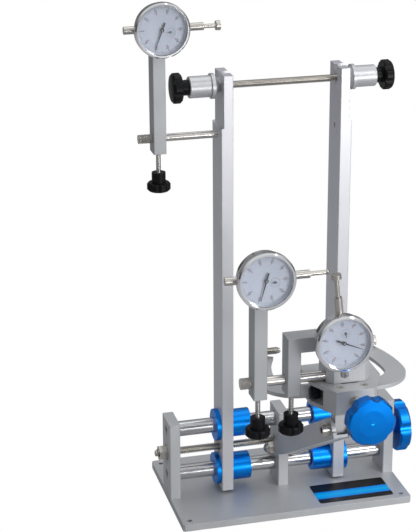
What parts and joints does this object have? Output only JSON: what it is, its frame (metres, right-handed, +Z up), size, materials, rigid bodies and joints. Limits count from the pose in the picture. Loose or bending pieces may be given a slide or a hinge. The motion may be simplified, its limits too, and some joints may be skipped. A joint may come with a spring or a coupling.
{
  "type": "wheel truing stand",
  "caption": "Bench wheel truing stand: two sliding columns hold the axle over a plate base, and a swing arm carries a feed carriage, claw fingers and dial indicators.",
  "frame": {"origin": "centre of the underside of the base plate", "axes": "+X along the wheel axle towards the end with the lead screw knob, +Y away from the user, +Z up"},
  "size_m": [0.3234, 0.3878, 0.5705],
  "materials": {
    "sandblasted_aluminium": "fine sandblasted, matt",
    "anodised_aluminium": "smooth satin anodised",
    "blue_anodised": "glossy blue anodised",
    "polished_rod": "ground and polished",
    "bright_steel": "threaded stainless steel",
    "black_plastic": "moulded black plastic",
    "bronze": "turned bronze",
    "dial_chrome": "bright plated",
    "dial_glass": "clear flat crystal",
    "hand_black": "black painted"
  },
  "bodies": {
    "stand": {"base_plate": "sandblasted_aluminium", "left_end_plate": "sandblasted_aluminium", "centre_plate": "sandblasted_aluminium", "right_end_plate": "sandblasted_aluminium", "guide_rods": "polished_rod", "frame_screws": "bright_steel", "arm_pivot_bolt": "bright_steel"},
    "lead": {"lead_screw": "bright_steel", "lead_knob": "blue_anodised", "lead_end_nut": "bright_steel"},
    "left_post": {"left_column": "anodised_aluminium", "left_bushings": "blue_anodised", "left_drive_nut": "bronze"},
    "right_post": {"right_column": "anodised_aluminium", "right_bushings": "blue_anodised", "right_drive_nut": "bronze"},
    "axle": {"axle": "bright_steel"},
    "left_cone": {"left_cone": "anodised_aluminium"},
    "right_cone": {"right_cone": "anodised_aluminium"},
    "left_axle_knob": {"left_axle_knob": "black_plastic"},
    "right_axle_knob": {"right_axle_knob": "black_plastic"},
    "upper_rod": {"upper_rod": "bright_steel"},
    "upper_arm": {"upper_arm": "sandblasted_aluminium", "upper_dial_case": "dial_chrome"},
    "upper_clamp": {"upper_clamp_knob": "black_plastic"},
    "swing": {"swing_arm": "sandblasted_aluminium", "tilt_screw": "bright_steel"},
    "carriage": {"top_plate": "sandblasted_aluminium", "tilt_bracket": "sandblasted_aluminium", "front_block": "sandblasted_aluminium", "carriage_screws": "bright_steel"},
    "feed": {"feed_screw": "bright_steel", "feed_knob": "blue_anodised"},
    "slider": {"slide_nut": "sandblasted_aluminium", "head_block": "sandblasted_aluminium", "claw_plate": "sandblasted_aluminium", "contact_screws": "bright_steel"},
    "lock": {"lock_knob": "black_plastic"},
    "lower_rod": {"lower_rod": "bright_steel"},
    "side_arm": {"side_arm": "sandblasted_aluminium", "side_dial_case": "dial_chrome"},
    "side_clamp": {"side_clamp_knob": "black_plastic"},
    "radial_arm": {"radial_arm": "sandblasted_aluminium", "radial_dial_case": "dial_chrome"},
    "radial_clamp": {"radial_clamp_knob": "black_plastic"},
    "upper_bezel": {"upper_dial_bezel": "dial_chrome", "upper_dial_glass": "dial_glass"},
    "upper_hand": {"upper_dial_hand": "hand_black"},
    "upper_counter": {"upper_dial_counter": "hand_black"},
    "upper_plunger": {"upper_dial_plunger": "dial_chrome"},
    "side_bezel": {"side_dial_bezel": "dial_chrome", "side_dial_glass": "dial_glass"},
    "side_hand": {"side_dial_hand": "hand_black"},
    "side_counter": {"side_dial_counter": "hand_black"},
    "side_plunger": {"side_dial_plunger": "dial_chrome"},
    "radial_bezel": {"radial_dial_bezel": "dial_chrome", "radial_dial_glass": "dial_glass"},
    "radial_hand": {"radial_dial_hand": "hand_black"},
    "radial_counter": {"radial_dial_counter": "hand_black"},
    "radial_plunger": {"radial_dial_plunger": "dial_chrome"}
  },
  "joints": [
    {"name": "lead_turn", "type": "hinge", "parent": "stand", "child": "lead", "pos_m": [0, 0, 0.058], "axis": [1, 0, 0], "range_deg": [-1800, 5400]},
    {"name": "left_post_slide", "type": "slide", "parent": "stand", "child": "left_post", "axis": [-1, 0, 0], "range_m": [-0.01, 0.03]},
    {"name": "right_post_slide", "type": "slide", "parent": "stand", "child": "right_post", "axis": [1, 0, 0], "range_m": [-0.01, 0.03]},
    {"name": "axle_turn", "type": "hinge", "parent": "stand", "child": "axle", "pos_m": [0, 0, 0.474], "axis": [1, 0, 0], "continuous": true},
    {"name": "left_cone_slide", "type": "slide", "parent": "left_post", "child": "left_cone", "axis": [-1, 0, 0], "range_m": [0, 0.006]},
    {"name": "right_cone_slide", "type": "slide", "parent": "right_post", "child": "right_cone", "axis": [1, 0, 0], "range_m": [0, 0.006]},
    {"name": "left_axle_knob_turn", "type": "hinge", "parent": "left_cone", "child": "left_axle_knob", "pos_m": [-0.102, 0, 0.474], "axis": [1, 0, 0], "continuous": true},
    {"name": "right_axle_knob_turn", "type": "hinge", "parent": "right_cone", "child": "right_axle_knob", "pos_m": [0.102, 0, 0.474], "axis": [1, 0, 0], "continuous": true},
    {"name": "upper_rod_turn", "type": "hinge", "parent": "left_post", "child": "upper_rod", "pos_m": [-0.1, 0, 0.422], "axis": [1, 0, 0], "range_deg": [-90, 45]},
    {"name": "upper_arm_slide", "type": "slide", "parent": "upper_rod", "child": "upper_arm", "axis": [1, 0, 0], "range_m": [0, 0.006]},
    {"name": "upper_clamp_turn", "type": "hinge", "parent": "upper_arm", "child": "upper_clamp", "pos_m": [-0.1348, 0, 0.385], "axis": [0, 0, 1], "continuous": true},
    {"name": "swing_lift", "type": "hinge", "parent": "stand", "child": "swing", "pos_m": [0, -0.0125, 0.0545], "axis": [-1, 0, 0], "range_deg": [-25, 12]},
    {"name": "carriage_tilt", "type": "hinge", "parent": "swing", "child": "carriage", "pos_m": [0, -0.20783, 0.16818], "axis": [1, 0, 0], "range_deg": [-12, 30]},
    {"name": "feed_turn", "type": "hinge", "parent": "carriage", "child": "feed", "pos_m": [0, -0.28683, 0.21843], "axis": [0, 1, 0], "range_deg": [-3240, 900]},
    {"name": "slider_feed", "type": "slide", "parent": "carriage", "child": "slider", "axis": [0, 1, 0], "range_m": [-0.005, 0.018]},
    {"name": "lock_turn", "type": "hinge", "parent": "slider", "child": "lock", "pos_m": [-0.027, -0.22583, 0.21933], "axis": [1, 0, 0], "continuous": true},
    {"name": "lower_rod_turn", "type": "hinge", "parent": "slider", "child": "lower_rod", "pos_m": [-0.06, -0.22583, 0.23628], "axis": [1, 0, 0], "range_deg": [-35, 7]},
    {"name": "side_arm_slide", "type": "slide", "parent": "lower_rod", "child": "side_arm", "axis": [1, 0, 0], "range_m": [-0.0018, 0.005]},
    {"name": "side_clamp_turn", "type": "hinge", "parent": "side_arm", "child": "side_clamp", "pos_m": [-0.0895, -0.22583, 0.19928], "axis": [0, 0, 1], "continuous": true},
    {"name": "radial_arm_slide", "type": "slide", "parent": "lower_rod", "child": "radial_arm", "axis": [1, 0, 0], "range_m": [-0.0035, 0.007]},
    {"name": "radial_clamp_turn", "type": "hinge", "parent": "radial_arm", "child": "radial_clamp", "pos_m": [-0.0557, -0.22583, 0.19928], "axis": [0, 0, 1], "continuous": true},
    {"name": "upper_bezel_turn", "type": "hinge", "parent": "upper_arm", "child": "upper_bezel", "pos_m": [-0.1348, -0.027, 0.542], "axis": [0, 1, 0], "continuous": true},
    {"name": "upper_hand_turn", "type": "hinge", "parent": "upper_arm", "child": "upper_hand", "pos_m": [-0.1348, -0.028, 0.542], "axis": [0, 1, 0], "range_deg": [0, 3600]},
    {"name": "upper_counter_turn", "type": "hinge", "parent": "upper_arm", "child": "upper_counter", "pos_m": [-0.12591, -0.027, 0.53928], "axis": [0, 1, 0], "range_deg": [0, 360]},
    {"name": "upper_plunger_slide", "type": "slide", "parent": "upper_arm", "child": "upper_plunger", "axis": [-1, 0, 0], "range_m": [0, 0.01], "stiffness_N_per_m": 50, "springref_m": -0.012},
    {"name": "side_bezel_turn", "type": "hinge", "parent": "side_arm", "child": "side_bezel", "pos_m": [-0.0895, -0.25283, 0.35128], "axis": [0, 1, 0], "continuous": true},
    {"name": "side_hand_turn", "type": "hinge", "parent": "side_arm", "child": "side_hand", "pos_m": [-0.0895, -0.25383, 0.35128], "axis": [0, 1, 0], "range_deg": [0, 3600]},
    {"name": "side_counter_turn", "type": "hinge", "parent": "side_arm", "child": "side_counter", "pos_m": [-0.08061, -0.25283, 0.34856], "axis": [0, 1, 0], "range_deg": [0, 360]},
    {"name": "side_plunger_slide", "type": "slide", "parent": "side_arm", "child": "side_plunger", "axis": [-1, 0, 0], "range_m": [0, 0.01], "stiffness_N_per_m": 50, "springref_m": -0.012},
    {"name": "radial_bezel_turn", "type": "hinge", "parent": "radial_arm", "child": "radial_bezel", "pos_m": [-0.015, -0.26283, 0.28428], "axis": [0, 1, 0], "continuous": true},
    {"name": "radial_hand_turn", "type": "hinge", "parent": "radial_arm", "child": "radial_hand", "pos_m": [-0.015, -0.26383, 0.28428], "axis": [0, 1, 0], "range_deg": [0, 3600]},
    {"name": "radial_counter_turn", "type": "hinge", "parent": "radial_arm", "child": "radial_counter", "pos_m": [-0.01323, -0.26283, 0.29341], "axis": [0, 1, 0], "range_deg": [0, 360]},
    {"name": "radial_plunger_slide", "type": "slide", "parent": "radial_arm", "child": "radial_plunger", "axis": [0.1045, 0, -0.9945], "range_m": [0, 0.01], "stiffness_N_per_m": 50, "springref_m": -0.012}
  ],
  "couplings": [
    {"joint": "lead_turn", "follows": "left_post_slide", "rad_per_m": 3141.3},
    {"joint": "right_post_slide", "follows": "left_post_slide", "ratio": 1},
    {"joint": "feed_turn", "follows": "slider_feed", "rad_per_m": -3141.3},
    {"joint": "upper_hand_turn", "follows": "upper_plunger_slide", "rad_per_m": 6282.6},
    {"joint": "upper_counter_turn", "follows": "upper_plunger_slide", "rad_per_m": 628.26},
    {"joint": "side_hand_turn", "follows": "side_plunger_slide", "rad_per_m": 6282.6},
    {"joint": "side_counter_turn", "follows": "side_plunger_slide", "rad_per_m": 628.26},
    {"joint": "radial_hand_turn", "follows": "radial_plunger_slide", "rad_per_m": 6282.6},
    {"joint": "radial_counter_turn", "follows": "radial_plunger_slide", "rad_per_m": 628.26}
  ]
}
